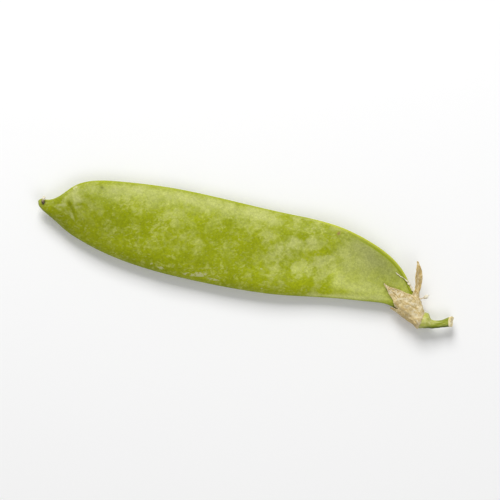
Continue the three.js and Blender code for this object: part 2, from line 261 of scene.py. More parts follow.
# Soft noise: its wavelength, its seed and, where it isn't 1, its height.
WAVES = 28  # sine waves in each noise
POD_NOISE = [(13, 11, 0.1), (3.2, 12, 0.022)]
UNDER_BLOOM = (14, 15, 0.2)
VEINS, CREASES, DENTS = (0.95, 31, 0.04), (1.1, 32, 0.03), (2.6, 33, 0.07)
VEINS_ALONG, CREASES_ACROSS = (1, 0.16), (0.6, 1)  # which way of the chart they are long
STALK_NOISE, TORN_EDGE = (0.9, 41, 0.02), (0.5, 42, 0.5)
STALK_GRAIN = (0.4, 1, 1)  # the skin of the stalk is smoother lengthwise
THREAD_LUMPS = [(0.5, 51), (0.24, 52, 0.6)]
SHEATH_NOISE, SHEATH_WAVER = (0.9, 61, 0.06), (0.13, 62, 0.2)
SHEATH_PALE = 0.75  # how whitish the shred is

# ---- Curves, noise and grids ----


def spline(knots, shares, first=0):
    """A natural cubic spline through the knots, read at shares of the way from the first
    one wanted to the last. Neighbouring knots lie the square root of their distance apart,
    and the second derivatives solve the tridiagonal system of a spline with free ends."""
    knots = np.asarray(knots, float)
    gaps = np.sqrt(np.linalg.norm(np.diff(knots, axis=0), axis=1))
    places = np.concatenate([[0.0], np.cumsum(gaps)])
    inner = np.arange(1, len(knots) - 1)
    system = np.eye(len(knots))
    system[inner, inner - 1] = gaps[:-1]
    system[inner, inner] = 2 * (gaps[:-1] + gaps[1:])
    system[inner, inner + 1] = gaps[1:]
    right = np.zeros_like(knots)
    right[1:-1] = 6 * np.diff(np.diff(knots, axis=0) / gaps[:, None], axis=0)
    bend = np.linalg.solve(system, right)
    place = places[first] + np.asarray(shares, float) * (places[-1] - places[first])
    k = np.clip(np.searchsorted(places, place, side="right") - 1, 0, len(knots) - 2)
    past = (place - places[k])[..., None]
    left = (places[k + 1] - place)[..., None]
    gap = gaps[k][..., None]
    return (
        (bend[k] * left**3 + bend[k + 1] * past**3) / (6 * gap)
        + (knots[k] / gap - bend[k] * gap / 6) * left
        + (knots[k + 1] / gap - bend[k + 1] * gap / 6) * past
    )


def ease(low, high, value):
    """0 below low, 1 above high, and a smooth cubic step between."""
    share = np.clip((value - low) / (high - low), 0, 1)
    return share * share * (3 - 2 * share)


def bell(value, centre, width):
    """A bell curve of height 1."""
    return np.exp(-(((value - centre) / width) ** 2))


def ripple(points, wavelength, seed, height=1.0):
    """Smooth seeded noise of about a height: the sum of sine waves that run in random
    directions, with random phases and lengths of about the wavelength."""
    rng = np.random.default_rng(seed)
    ways = rng.normal(size=(WAVES, points.shape[-1]))
    ways /= np.linalg.norm(ways, axis=1, keepdims=True)
    ways *= (2 * np.pi / (wavelength * rng.uniform(0.7, 1.5, WAVES)))[:, None]
    phases = rng.uniform(0, 2 * np.pi, WAVES)
    return height * (np.sin(points @ ways.T + phases).sum(-1) / math.sqrt(WAVES / 2))


def soft_patches(x, y, patches):
    """The sum of soft oval patches: each is a bell curve of the distance from its middle,
    counted in its own two radii along axes turned by its angle, times its strength."""
    middle_x, middle_y, radius_long, radius_short, angle, strength = np.array(patches, float).T
    from_x, from_y = x[..., None] - middle_x, y[..., None] - middle_y
    cosine, sine = np.cos(np.radians(angle)), np.sin(np.radians(angle))
    along, across = from_x * cosine + from_y * sine, from_y * cosine - from_x * sine
    return (strength * np.exp(-((along / radius_long) ** 2) - (across / radius_short) ** 2)).sum(-1)


def quads(index):
    """The quads of a grid of vertex numbers."""
    corners = [index[:-1, :-1], index[:-1, 1:], index[1:, 1:], index[1:, :-1]]
    return np.stack(corners, -1).reshape(-1, 4)


def numbered(rows, columns, start=0):
    """Vertex numbers of a grid, row by row."""
    return start + np.arange(rows * columns).reshape(rows, columns)


def raised(grid, height, wrapped=False):
    """A grid pushed out along its unit normals by a height at each point. A normal is the
    cross product of the central differences along the columns and the rows. A wrapped
    grid carries on from its last column to its first."""
    down = np.gradient(grid, axis=0)
    if wrapped:
        over = np.roll(grid, -1, axis=1) - np.roll(grid, 1, axis=1)
    else:
        over = np.gradient(grid, axis=1)
    normal = np.cross(over, down)
    normal /= np.maximum(np.linalg.norm(normal, axis=-1, keepdims=True), SHORTEST)
    return grid + normal * height[..., None]


def walked(points):
    """How far it is to each of a row of points from the first one, point by point."""
    steps = np.diff(points, axis=0, prepend=points[:1])
    return np.cumsum(np.linalg.norm(steps, axis=-1), axis=0)


def paired(across, along):
    """A chart of a grid, from the places across it and the places along it."""
    return np.stack(np.broadcast_arrays(across, along), -1)


def middle_and_reach(rung):
    """The middle of a rung, and the way from there to its second end."""
    return (rung[..., 2:4] + rung[..., :2]) / 2, (rung[..., 2:4] - rung[..., :2]) / 2


def ovals(rung, turn, swell=1.0):
    """Points on ovals round rungs: the cosine of the turn runs along the rung and its sine
    up and down, and both are swollen by a factor."""
    middle, reach = middle_and_reach(rung)
    flat = middle + reach * (np.cos(turn) * swell)[..., None]
    height = rung[..., 5] + rung[..., 4] * np.sin(turn) * swell
    return np.concatenate([flat, height[..., None]], -1)


def between_edges(ladder, across):
    """Points on straight lines between the two edges of a ladder, where across is -1 on
    the first edge and 1 on the second."""
    weight = ((1 + across) / 2)[..., None]
    return ladder[:, None, :3] * (1 - weight) + ladder[:, None, 3:6] * weight


def settle(points):
    """Near the calyx the pod is rolled a little, which lifts its seeded seam. The lowest
    skin sinks softly by up to BELLY_PRESS, and nothing goes below the floor."""
    x, y, z = np.moveaxis(points, -1, 0)
    rolled = ease(*ROLL_START, x) - ease(*ROLL_END, x)
    height = SEAM_LEVEL + z + ROLL * rolled * (y - ROLL_AXIS_Y)
    height = np.maximum(height - BELLY_PRESS * (1 - ease(BELLY_PRESS, BELLY_SOFT, height)), 0)
    return np.stack([x, y, height], -1)


# ---- Making a piece ----


def placed(name, data):
    """A new object in the scene."""
    thing = bpy.data.objects.new(name, data)
    bpy.context.scene.collection.objects.link(thing)
    return thing


def make_piece(name, points, faces, corners, marks, skin, slot, stands_for, thickness=0.0):
    """A smooth mesh object in the frame, made from chart points. corners holds a place in
    the piece's own UV map for each face corner, and marks a number for each vertex. A
    sheet also gets its thickness, inwards from the face that was made."""
    mesh = bpy.data.meshes.new(name)
    mesh.from_pydata(lay_down(points).tolist(), [], faces)
    mesh.shade_smooth()
    layer = mesh.uv_layers.new(name="chart")
    layer.data.foreach_set("uv", np.asarray(corners, np.float32).ravel())
    for mark, values in marks.items():
        attribute = mesh.attributes.new(mark, "FLOAT", "POINT")
        attribute.data.foreach_set("value", np.asarray(values, np.float32))
    mesh.materials.append(skin)
    piece = placed(name, mesh)
    if thickness:
        solid = piece.modifiers.new("thickness", "SOLIDIFY")
        solid.thickness = thickness * MM
        solid.offset = -1
    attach(piece, "root")
    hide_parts(*stands_for)


def tube_faces(index):
    """The quads of a grid of vertex numbers, and the triangles from its first row to the
    next number after the grid's, and from its last row to the one after that."""
    start, end = index[0], index[-1]
    middle = np.full(len(start) - 1, index.max() + 1)
    first_fan = np.stack([start[1:], start[:-1], middle], -1)
    last_fan = np.stack([end[:-1], end[1:], middle + 1], -1)
    return quads(index), first_fan, last_fan


def with_ends(rings):
    """What a stack of rings holds, point by point, and then its mean over the first ring
    and over the last one."""
    flat = rings.reshape(-1, *rings.shape[2:])
    return np.concatenate([flat, rings[:1].mean(1), rings[-1:].mean(1)])


def tube_piece(name, rings, charts, marks, *finish):
    """A piece that is a closed skin over a stack of rings, with a fan to the middle of the
    first ring and of the last one. The chart has one column more than the rings."""
    index = numbered(*rings.shape[:2])
    faces = tube_faces(np.column_stack([index, index[:, :1]]))
    chart_faces = tube_faces(numbered(*charts.shape[:2]))
    corners = with_ends(charts)[np.concatenate([part.ravel() for part in chart_faces])]
    marks = {mark: with_ends(np.broadcast_to(values, index.shape)) for mark, values in marks.items()}
    points = with_ends(settle(rings))
    make_piece(name, points, sum((part.tolist() for part in faces), []), corners, marks, *finish)


# ---- The pod ----


def neck_rung(share, filled):
    """A rung that fills part of the room in the calyx cup."""
    rung = spline(CUP_RUNGS, share)
    middle, reach = middle_and_reach(rung)
    reach *= (1 - NECK_INSET / np.linalg.norm(reach)) * filled
    return (*(middle - reach), *(middle + reach), (rung[4] - NECK_INSET) * filled)


POD_LADDER = np.array(
    [(*rung[:4], rung[4] * POD_THICKNESS / 2) for rung in POD_RUNGS]
    + [neck_rung(*rung) for rung in NECK_RUNGS]
)


def valve_height(half, side):
    """Height of a valve over the seams: a lens, fullest in the middle, that ends in blunt
    seams. side runs from -1 on the lower seam to 1 on the seeded one."""
    seam = np.minimum(SEAM_HALF, half)
    inner, outer = VALVE_FULLNESS
    lens = (1 - np.abs(side) ** inner) ** outer
    return (half - seam) * lens + seam * np.maximum(1 - side * side, 0) ** SEAM_BLUNTNESS


def pod_rings(along, turn):
    """The bare pod: rungs of the ladder are the widths of its sections, and each section
    is a lens. The turn goes round from the seeded seam over the upper valve."""
    rung = spline(POD_LADDER, along)[:, None, :]
    side = np.cos(turn)[None, :]
    flat = rung[..., :2] + (rung[..., 2:4] - rung[..., :2]) * ((1 + side) / 2)[..., None]
    height = valve_height(rung[..., 4], side) * np.sign(np.sin(turn))
    return np.concatenate([flat, height[..., None]], -1)


def over_the_valve(x, y):
    """Height of the valve over the seams at places on the chart. The rung through each
    place is found by halving, and the edges are taken a little in from the seams."""
    before, after = np.zeros_like(x), np.ones_like(x)
    for _ in range(HALVINGS):
        along = (before + after) / 2
        rung = spline(POD_LADDER, along)
        across = rung[..., 2:4] - rung[..., :2]
        ahead = across[..., 0] * (y - rung[..., 1]) < across[..., 1] * (x - rung[..., 0])
        before, after = np.where(ahead, along, before), np.where(ahead, after, along)
    share = ((x - rung[..., 0]) * across[..., 0] + (y - rung[..., 1]) * across[..., 1]) / (across**2).sum(-1)
    return valve_height(rung[..., 4], np.clip(2 * share - 1, -VALVE_EDGE, VALVE_EDGE))


# Seeds: where the first one swells the valves and the step between them, how far up the
# pod they sit from the lower seam to the seeded one, their size and how high each one is.
SEED_FIRST, SEED_STEP = 15.5, 8.6
SEED_SHARE, SEED_RADIUS, SEED_RISE = 0.56, (3, 3.4), 0.22
SEED_FULLNESS = np.array([0.75, 1, 0.9, 1.05, 0.9, 1, 0.85, 0.6])


def seed_swelling(x, y):
    """Low round swellings in a row, one over each seed."""
    place = SEED_FIRST + SEED_STEP * np.arange(len(SEED_FULLNESS))
    middle_x = POD_LADDER[:, [0, 2]].mean(1)
    low_y = np.interp(place, middle_x, POD_LADDER[:, 1])
    high_y = np.interp(place, middle_x, POD_LADDER[:, 3])
    middle_y = low_y + (high_y - low_y) * SEED_SHARE
    patches = [(a, b, *SEED_RADIUS, 0, c) for a, b, c in zip(place, middle_y, SEED_RISE * SEED_FULLNESS)]
    return soft_patches(x, y, patches)


# Marks on the upper valve: the middle of each, its long and short radius, the angle of
# the long one in degrees and the strength. First the waxy bloom, and where it is rubbed off.
BLOOM = [
    (8.2, 3.9, 1.5, 0.9, 20, 0.8), (7.3, 5.4, 1.6, 0.6, 70, 0.5),
    (5, 1.35, 1.1, 0.3, 22, 1), (4.4, 0.4, 1.6, 0.3, -8, 0.45),
    (6.9, 0.3, 0.9, 0.3, -40, 0.5), (8.5, -0.4, 0.9, 0.45, -50, 1),
    (9.5, -1.4, 0.8, 0.3, -45, 0.5), (9.2, 2.3, 1, 0.3, 30, 0.6),
    (5.6, 3.2, 1.2, 0.3, 60, 0.5), (11.4, 1.3, 1.8, 0.6, -20, 0.3),
    (8.6, 0.7, 1.6, 0.32, -50, -0.7), (4.3, 2.4, 1, 0.7, -60, -0.5),
    (7.6, 1.7, 1.2, 0.5, -45, -0.6), (6.4, -1.4, 1.8, 0.6, -28, -0.35),
    (57.5, 7, 6, 3, 70, 0.4), (66, 6, 7, 6, 60, 0.15),
    (62, 9.9, 3.4, 1.8, 20, 0.6), (66, 12.8, 2.2, 1, 10, 0.2),
    (60.6, 0, 3.2, 1.2, 15, 0.2), (57.5, 2.8, 2.6, 1.6, 20, 0.22),
    (60, 11.3, 2, 1, 0, 0.22), (65, 4.4, 1.6, 1.4, 60, 0.35),
    (73.4, 5.9, 2.2, 1.6, 20, 0.3), (54, 9.8, 1.6, 0.8, 30, 0.25),
    (36, 1, 2.6, 0.8, 30, 0.25), (30, -0.6, 3, 1, 15, 0.2),
    (21, 0.6, 2.4, 0.7, 25, 0.2), (15, -3, 3, 0.6, -8, 0.25),
    (78.5, 4.2, 7, 2.2, 15, 0.38), (78.5, 13, 5.5, 1.8, -20, 0.3),
    (72, 12.2, 3, 2, 0, 0.25), (60.5, 12.6, 4, 1.1, 10, -0.6),
    (49, 5.2, 1.8, 1.3, 30, -0.45), (52, 4.4, 1.6, 1.5, 0, -0.45),
    (41, 1.5, 10, 5, 4, -0.14), (36.5, -4.4, 2.6, 1.6, 0, -0.4),
    (68.2, 4.2, 1.9, 1.5, 0, 0.35), (60, 14.6, 3.4, 0.8, 8, -0.35),
    (28, -4.8, 2.6, 1.4, 0, -0.3), (42.5, 6.2, 1.6, 1.2, 40, -0.35),
    (41.5, -1.6, 2, 1.6, 20, -0.3), (54, -2.4, 3, 1.2, 10, -0.4),
    (24.5, 3.2, 2.2, 1.6, 0, -0.3), (18, 5.2, 2.4, 1.4, 20, -0.2),
    (64, 6.8, 1.2, 1.6, -20, -0.35), (67.4, 10.1, 2.1, 0.7, 24, -0.9),
    (69.4, 14.4, 3.2, 1.1, 0, -0.4), (67, 2.4, 0.7, 2.6, -8, -0.5),
    (74.5, 2.6, 3.6, 0.9, 18, -0.3), (64.4, 0.6, 2.4, 0.9, 10, -0.4),
    (11.5, -3.2, 5.5, 1.6, -18, -0.4), (7.6, -2.4, 3.6, 1.1, -26, -0.35),
    (13.5, -1.4, 3.6, 2, -10, -0.18), (36, -4.2, 9, 1.2, 4, -0.22),
    (64, -0.3, 2.2, 0.8, 14, -0.25), (52, 5.6, 1.5, 1.3, 0, -0.2),
    (20, 3, 2, 1.8, 10, -0.15), (28, 5.2, 1.8, 1.3, 0, -0.18),
    (64, 3.6, 4.5, 1.6, 14, 0.16), (60, 11.4, 1.6, 0.8, 0, 0.16),
    (80.5, 5.8, 3, 1.6, 15, 0.16), (74, 1.2, 2.6, 0.35, 16, 0.6),
    (80, 2.9, 3, 0.5, 16, 0.3), (61.8, -1.3, 1.6, 0.5, 14, -0.4),
    (66, -0.1, 1.6, 0.4, 14, -0.25), (20, -4.8, 1.6, 0.5, 0, -0.3),
    (84.5, 4.1, 2.6, 0.8, 16, 0.4), (70, 0, 2.6, 0.4, 14, 0.6),
]
# Painted light and shade: where the skin is made darker or lighter by a share of its colour, standing in for
# how the light falls on it.
POD_PAINTED_LIGHT = [
    (2, 1.4, 4, 1.6, 20, -0.08), (9.5, -0.4, 6.5, 2.8, -12, -0.24),
    (15.5, 1.5, 7.5, 6.5, 10, -0.07), (40, 6.5, 12, 5, 5, 0.04),
    (79, 13.4, 7.5, 2.6, -20, -0.33), (68.5, 4.6, 7, 3, 14, 0.11),
    (77, 2.2, 9, 2.6, 20, 0.12), (62, 4, 3.5, 2.4, 20, 0.08),
    (56, 2, 4, 3, 14, 0.08), (9.5, 6.8, 3, 2, 40, -0.08),
    (78.5, 3.4, 10, 3.6, 15, 0.34), (64, 4, 3, 2.6, 14, 0.16),
    (60, 0.5, 10, 3.2, 14, 0.14), (52, 0.6, 3, 2.6, 12, 0.08),
    (46.5, 1, 4, 2.6, 0, 0.1), (31, -1.6, 5, 3, -4, 0.12),
    (42, -4.6, 6, 1.5, 10, 0.08), (72.3, 5, 1.9, 4.6, 8, 0.22),
    (56, -0.6, 2.6, 2, 14, 0.1), (64.4, 0.4, 2.4, 1.4, 14, 0.1),
    (80, 2.7, 3.4, 0.7, 16, 0.18), (64.2, 11.4, 1.4, 1, 0, -0.1),
    (7.2, -2.3, 3.2, 1, -27, -0.16), (12, 3.2, 1.8, 1.6, 0, -0.09),
    (16, 8.4, 2.2, 1.2, 20, -0.08), (20, -4.8, 2.8, 0.9, 0, -0.1),
    (85.8, 3.6, 2.4, 0.8, 18, 0.5), (80, 2.6, 6, 0.5, 15, 0.14),
    (70.5, 0.2, 6, 0.5, 15, 0.12), (82, 6.4, 3.6, 1.9, 12, -0.12),
    (44.5, 1.2, 1.8, 1.4, 0, 0.07), (36.2, 7.6, 1.8, 1.8, 0, 0.08),
    (36.2, 10.4, 2.4, 1.2, 0, 0.04),
]
SCAR = [
    (40.3, -4.5, 2.6, 0.5, 14, 1), (42, -3.7, 0.9, 0.4, 20, 0.9),
    (45, -4.2, 1.8, 0.3, 8, 0.7), (32.2, -5.4, 0.9, 0.4, 0, 0.8),
    (29.8, -5.2, 0.8, 0.35, 30, 0.6), (33.8, -4.6, 0.5, 0.25, 20, 0.5),
    (20.6, -5.6, 0.7, 0.25, 0, 0.6), (49.4, -1.6, 0.5, 0.2, -60, 0.5),
    (56.6, -2.6, 0.5, 0.3, 30, 0.5), (55, 1.9, 0.35, 0.15, 30, 0.9),
    (26.4, -1, 1.6, 0.3, 45, 0.4), (7.05, 6.3, 0.55, 0.32, 65, 1.2),
]
BROWN_FLECK = [(69.8, 15.7, 0.45, 0.25, 70, 1), (41.2, -3.8, 0.2, 0.15, 0, 0.5)]
DARK_DOTS = [
    (13.1, 8.35, 0.5, 0.38, 0, 1.3), (6.95, 2.45, 0.6, 0.42, -40, 1.5),
    (7.8, 1.5, 1, 0.35, -50, 0.9), (8.7, 0.5, 0.7, 0.3, -50, 0.8),
    (6.2, 0.6, 0.5, 0.2, -20, 0.4), (5.2, 3, 0.3, 0.2, 0, 0.5),
    (10, 2.4, 0.25, 0.5, 0, 0.4), (36, 9.3, 0.3, 0.22, 0, 0.8),
    (37.3, 9.7, 0.25, 0.2, 0, 0.7), (24.8, -1.4, 0.35, 0.25, 20, 0.6),
    (32, 6.9, 0.3, 0.2, 0, 0.6), (38.5, -3, 0.25, 0.3, 0, 0.7),
    (64.4, 10.9, 0.22, 0.2, 0, 0.8), (44.5, 10.6, 0.22, 0.2, 0, 0.6),
    (83.8, 10.9, 0.22, 0.2, 0, 0.5),
]

# How golden the paper is: along the lower edge of the cup, on a sepal that lies on a valve
# and on one that stands free, where a stripe along the middle is paler.
GOLD_CUP, GOLD_LYING, GOLD_FREE = 0.6, 0.2, 1
LOW_EDGE, GOLD_SETS_IN, PALE_STRIPE = (-1, 0.7), (0, 1.5), (0.1, 0.3)
# Painted light and shade: where the side of the calyx that is seen from above is darker or lighter.
CALYX_PAINTED_LIGHT = [
    (91.8, 8.4, 0.7, 1.3, 0, 0.4), (91.6, 2.7, 1.3, 0.45, 22, -0.26),
    (92.9, 2, 1, 0.35, 18, 0.28), (87.4, 4.7, 1.3, 0.7, 30, 0.26),
    (86, 5.8, 0.8, 0.5, 30, 0.2), (90, 6.5, 1.6, 0.45, -8, -0.16),
    (94, 3.4, 0.5, 0.8, 0, 0.2), (91.9, 4.7, 0.7, 0.5, 0, -0.14),
    (94.1, 0.8, 0.9, 0.35, 20, -0.3), (90.8, 1.6, 1, 0.35, 20, -0.2),
]

SMALL_START, SMALL_END = (-1, 10), (91, 94)  # where the rib and the rim grow in and fade out
NEAR_CALYX = (66, 76)  # where the bloom is evener and the rim greener
# How thick the bloom is, and how much thicker by the lower seam, in a band beside the
# seeded seam and near the calyx.
BLOOM_EVEN, BLOOM_LOWER, BLOOM_BAND, BLOOM_CALYX = 0.36, -0.3, 0.55, 0.36
UPPER_VALVE = (-0.4, 0.4)  # distances from the seeded seam over which the marks set in
WAXY_BAND, WAXY_RANGE = (2.2, 1.7), ((8, 18), (50, 60))  # thick bloom beside the seeded seam
CRISP_PATCHES = (62, 10)  # the middle of the crisp patches, and how far they reach
LOWER_SIDE = (3, 10)  # distances from the lower seam over which the bloom grows thicker
BEAK_END, BEAK_RIM_END = (5, 14), (5, 9)  # where the colours of the beak end
RIB_RANGE = ((57, 68), (90, 93))  # where the seeded seam turns up into view
GROOVE_START = (69, 80)  # where the groove beside its rib deepens
RIB_SHIFT = 0.5
RIB_WIDTH, RIB_RISE = 0.34, 0.2
GROOVE_APART, GROOVE_WIDTH, GROOVE_DEPTH = 0.66, 0.26, 0.16
GROOVE_FAINT = 0.25  # share of the depth that it has elsewhere
# Lines of colour along the seams: how far off their middles are, and their widths.
SEAM_LINE, GROOVE_LINE, RIM_LINE = (0, 0.42), (GROOVE_APART + 0.05, 0.36), (0.15, 0.4)
RIM_WIDTH, RIM_RISE = 0.3, 0.08
DISHES = [(80.5, 8.6, 8.5, 4.2, -12, -0.5), (9.5, 1.5, 4, 1.6, 60, -0.3)]  # where the valves sink in
OFF_FLOOR = (-2.9, -1.9)  # heights between which the swellings and the noise fade in


def pod_piece(skin):
    """The pod: the bare rings, pushed out along their normals by the rib of the seeded
    seam, the rim of the lower seam, the seeds and soft noise."""
    turn = np.linspace(-np.pi, np.pi, POD_COLUMNS + 1)
    closed = pod_rings(np.linspace(0, 1, POD_STATIONS), turn)
    way_round = walked(np.swapaxes(closed, 0, 1)).T
    arc = way_round - way_round[:, [POD_COLUMNS // 2]]
    to_lower = np.where(turn >= 0, way_round[:, -1:] - way_round, -way_round)
    rings, arc_here, low_here = closed[:, :-1], arc[:, :-1], to_lower[:, :-1]
    x, y, z = np.moveaxis(rings, -1, 0)

    turned_up = ease(*RIB_RANGE[0], x) - ease(*RIB_RANGE[1], x)
    cut_in = np.minimum(turned_up, ease(*GROOVE_START, x))
    rib_middle = RIB_SHIFT * turned_up
    rib = bell(arc_here, rib_middle, RIB_WIDTH)
    groove = bell(arc_here, rib_middle + GROOVE_APART, GROOVE_WIDTH)
    groove += bell(arc_here, rib_middle - GROOVE_APART, GROOVE_WIDTH)
    groove *= GROOVE_FAINT + (1 - GROOVE_FAINT) * cut_in
    small = ease(*SMALL_START, x) * (1 - ease(*SMALL_END, x))
    relief = RIB_RISE * rib - GROOVE_DEPTH * groove + RIM_RISE * bell(low_here, 0, RIM_WIDTH)
    swelling = seed_swelling(x, y) + soft_patches(x, y, DISHES)
    swelling += sum(ripple(rings, *noise) for noise in POD_NOISE)
    inside = valve_height(1.0, np.clip(np.cos(turn[:-1]), -1, 1))
    relief = small * (relief + ease(*OFF_FLOOR, z) * inside * swelling)

    upper = ease(*UPPER_VALVE, arc_here)
    under_edge = bell(arc_here, *WAXY_BAND) * (ease(*WAXY_RANGE[0], x) - ease(*WAXY_RANGE[1], x))
    near_calyx = ease(*NEAR_CALYX, x)
    lower_side = (1 - ease(*LOWER_SIDE, low_here)) * ease(*BEAK_END, x)
    bloom = BLOOM_EVEN + BLOOM_LOWER * lower_side + BLOOM_BAND * under_edge + BLOOM_CALYX * near_calyx
    underneath = 0.5 + ripple(rings, *UNDER_BLOOM)
    bloom = np.where(arc_here > 0, bloom + soft_patches(x, y, BLOOM), underneath)
    edge_only = bell(arc_here, *SEAM_LINE) * (1 - turned_up)
    beside_rib = bell(np.abs(arc_here - rib_middle), *GROOVE_LINE)
    marks = {
        "bloom": np.clip(bloom, -0.3, 1.3),
        "rubbed": 1 - 0.6 * near_calyx - 0.4 * under_edge,
        "patchy": bell(x, *CRISP_PATCHES),
        # painted light and shade: the seen side of the skin made darker or lighter
        "painted_light_and_shade": 1 + (0.06 * lower_side + soft_patches(x, y, POD_PAINTED_LIGHT)) * upper,
        # the rib's bright line is partly its own yellow-green and partly a painted highlight on its crest
        "rib": np.maximum(rib * turned_up, 0.5 * edge_only),
        "groove": np.maximum(beside_rib * cut_in, 0.8 * edge_only),
        "rim": bell(low_here, *RIM_LINE) * (0.5 + 0.7 * near_calyx + 0.5 * (1 - ease(*BEAK_RIM_END, x))),
        "scar": np.clip(soft_patches(x, y, SCAR) * upper, 0, 1),
        "fleck": soft_patches(x, y, BROWN_FLECK) * upper,
        "dots": soft_patches(x, y, DARK_DOTS) * upper,
    }
    chart = paired(closed[:, [0], 0], arc) / POD_CHART_UNIT
    tube_piece("pod_skin", raised(rings, relief, wrapped=True), chart, marks, skin, "pod_skin", ["pod"])


# ---- The calyx ----


def rim_share(turns):
    """How far up the cup its rim is, on straight lines between the turns of the table."""
    degrees = (np.degrees(turns) - RIM_TURNS[0]) % 360 + RIM_TURNS[0]
    return np.interp(degrees, RIM_TURNS, RIM_SHARES)


def cup_at(share, turns):
    """Points of the bare cup at shares of the way from its foot to its rim."""
    return ovals(spline(CUP_RUNGS, share * rim_share(turns)), turns)


def cup_grid(turns):
    """The cup from its turned-in foot to its rim, one row of points for each place."""
    shares = np.append(np.zeros(len(FOOT_DRAWN_IN)), np.linspace(0, 1, CUP_STATIONS))
    drawn_in = np.append(FOOT_DRAWN_IN, np.zeros(CUP_STATIONS))
    points = cup_at(shares[:, None], turns)
    middle = points.mean(axis=1, keepdims=True)
    return points + (middle - points) * drawn_in[:, None, None]


def from_seams(rungs, valve):
    """Rungs across a sepal or a shred, with the heights of both edges over the seams."""
    ladder = np.array(rungs, float)
    if valve:
        x, y, z = [0, 3], [1, 4], [2, 5]
        ladder[:, z] = valve * (over_the_valve(ladder[:, x], ladder[:, y]) + ladder[:, z])
    return ladder


def sepal_grid(rungs, valve, turns):
    """One sepal from the rim to its tip, without its first row, which is on the rim. The
    edges are splines that carry on from the cup, the rows between them are straight at
    first, and then the arch of the rim, which fades away along the sepal, and the crown
    are added. A sepal that lies on a valve takes its height from the valve."""
    shares = np.linspace(0, 1, SEPAL_STATIONS + 1)[1:] ** SEPAL_ROWS
    across = np.linspace(-1, 1, len(turns))
    back = [[*cup_at(share, turns[[0, -1]]).ravel(), 0] for share in CARRIED_ON]
    ladder = spline(np.vstack([back, from_seams(rungs, valve)]), shares, first=len(back) - 1)
    rim = cup_at(1, turns)
    straight = between_edges(rim[[0, -1]].reshape(1, 6), across)
    fade = 1 - ease(*RIM_FADES, shares)[:, None, None]
    points = between_edges(ladder, across) + (rim - straight) * fade
    lift = ladder[:, 6:] * (1 - across**2)
    if not valve:
        return raised(points, lift)
    x, y, z = np.moveaxis(points, -1, 0)
    curl = SEPAL_CURL * across**4 * ease(*CURL_GROWS, shares)[:, None]
    lying = valve * (over_the_valve(x, y) + SEPAL_GAP + lift + curl)
    settled = ease(*LAID_DOWN, shares)[:, None]
    return np.stack([x, y, z * (1 - settled) + lying * settled], -1)


def crumple(chart, points):
    """Dry paper: lengthwise veins, finer crosswise creases and soft dents."""
    veins = ripple(chart * VEINS_ALONG, *VEINS)
    creases = ripple(chart * CREASES_ACROSS, *CREASES)
    return veins + creases + ripple(points, *DENTS)


def calyx_piece(skin):
    """The calyx: one sheet of dry paper, a cup whose rim carries on into five sepals,
    pushed in and out along its normals by veins and crumples."""
    step = 360 / CALYX_COLUMNS
    start = SEPALS[0][0]
    turns = np.radians(start + step * np.arange(CALYX_COLUMNS))
    cup = cup_grid(turns)
    length = walked(cup.mean(1))
    chart = paired(CALYX_RADIUS * (turns - turns[0]), length[:, None])
    cup = raised(cup, crumple(chart, cup) * ease(0, 0.6, length)[:, None], wrapped=True)
    index = numbered(*cup.shape[:2])
    round_index = np.column_stack([index, index[:, :1]])
    low_edge = np.broadcast_to(bell(np.cos(turns), *LOW_EDGE), index.shape)
    grids, charts, faces, golden = [cup], [chart], [quads(round_index)], [GOLD_CUP * low_edge]
    for first, last, valve, rungs in SEPALS:
        columns = np.arange(round((first - start) / step), round((last - start) / step) + 1)
        turns_here = np.radians(start + step * columns)
        grid = sepal_grid(rungs, valve, turns_here)
        reach = length[-1] + walked(grid.mean(1))
        chart = paired(CALYX_RADIUS * (turns_here - turns[0]), reach[:, None])
        index = numbered(*grid.shape[:2], start=index[-1, -1] + 1)
        stripe = 1 - 0.8 * bell(np.linspace(-1, 1, len(columns)), *PALE_STRIPE)
        grids.append(raised(grid, crumple(chart, grid)))
        charts.append(chart)
        faces.append(quads(np.vstack([round_index[-1, columns], index])))
        gold = (GOLD_LYING if valve else GOLD_FREE) * ease(*GOLD_SETS_IN, reach - length[-1])
        golden.append(gold[:, None] * stripe)
    points = np.concatenate([grid.reshape(-1, 3) for grid in grids])
    faces = np.concatenate(faces)
    corners = np.concatenate([chart.reshape(-1, 2) for chart in charts])[faces]
    round_way, half_round = corners[..., 0], CALYX_RADIUS * np.pi
    split = np.ptp(round_way, axis=1, keepdims=True) > half_round
    corners[..., 0] += np.where(split & (round_way < half_round), 2 * half_round, 0)
    marks = {
        "golden": np.concatenate([values.ravel() for values in golden]),
        # painted light and shade on the side of the calyx seen from above
        "painted_light_and_shade": 1 + soft_patches(points[:, 0], points[:, 1], CALYX_PAINTED_LIGHT) * ease(-0.5, 0.5, points[:, 2]),
    }
    finish = (skin, "dry_calyx", CALYX_NODES, PAPER)
    make_piece("calyx_paper", settle(points), faces.tolist(), corners / CHART_UNIT, marks, *finish)


# ---- The stalk and the threads ----


def swept(knots, shares):
    """Round rings along a midline: the midline is a spline through the knots, which hold
    its places and the radius, and each ring stands square to it."""
    path = spline(knots, shares)
    middle, radius = path[:, None, :3], path[:, None, 3:]
    ahead = np.gradient(path[:, :3], axis=0)
    ahead /= np.linalg.norm(ahead, axis=1, keepdims=True)
    side = np.cross([0, 0, 1], ahead)
    side /= np.linalg.norm(side, axis=1, keepdims=True)
    over = np.cross(ahead, side)
    turn = np.linspace(0, 2 * np.pi, THREAD_COLUMNS + 1)
    out = side[:, None] * np.cos(turn)[None, :, None] + over[:, None] * np.sin(turn)[None, :, None]
    chart = paired(turn / (2 * np.pi), walked(path[:, :3])[:, None] / CHART_UNIT)
    return (middle + out * radius)[:, :-1], chart


